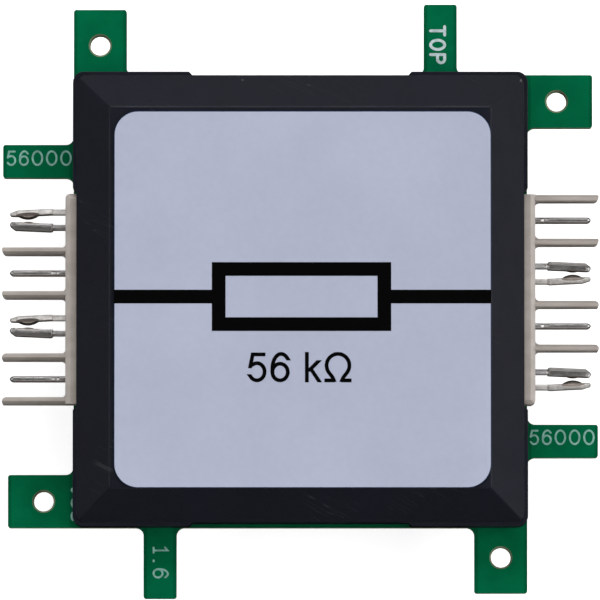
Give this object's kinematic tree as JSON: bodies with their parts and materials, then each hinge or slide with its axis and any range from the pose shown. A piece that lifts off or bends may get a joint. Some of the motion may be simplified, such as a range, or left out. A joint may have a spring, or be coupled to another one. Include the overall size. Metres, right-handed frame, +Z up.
{
  "type": "resistor module",
  "caption": "Square plug-together resistor module: tabbed circuit board in a bevelled black casing with a labelled face and a finned edge connector on two opposite sides.",
  "frame": {"origin": "middle of the lower casing half's flat, on the surface that the module rests on", "axes": "+Z up through the thickness to the label; +X to the right connector; +Y to the edge above the resistor symbol"},
  "size_m": [0.045, 0.045, 0.0133],
  "materials": {
    "casing": "fine spark-eroded black, slightly satin",
    "label": "matte printed film, lavender grey",
    "board": "green solder mask over glass laminate",
    "connector_plastic": "natural beige moulded nylon, satin",
    "contact_metal": "tin-plated stamped sheet, dull",
    "copper": "etched copper",
    "solder": "reflowed solder",
    "ceramic": "white alumina",
    "film": "fired resistive paste",
    "overcoat": "black glass overcoat",
    "terminal": "tinned end cap"
  },
  "bodies": {
    "root": {"upper_shell": "casing", "lower_shell": "casing", "label": "label", "circuit_board": "board", "left_connector_housing": "connector_plastic", "right_connector_housing": "connector_plastic", "left_fork_1": "contact_metal", "left_blade_2": "contact_metal", "left_fork_3": "contact_metal", "left_blade_4": "contact_metal", "right_blade_1": "contact_metal", "right_fork_2": "contact_metal", "right_blade_3": "contact_metal", "right_fork_4": "contact_metal", "left_signal_copper": "copper", "right_signal_copper": "copper", "ground_copper": "copper", "left_solder_joints": "solder", "right_solder_joints": "solder", "resistor_solder_joints": "solder", "resistor_substrate": "ceramic", "resistor_film": "film", "resistor_overcoat": "overcoat", "resistor_left_terminal": "terminal", "resistor_right_terminal": "terminal"}
  },
  "joints": []
}
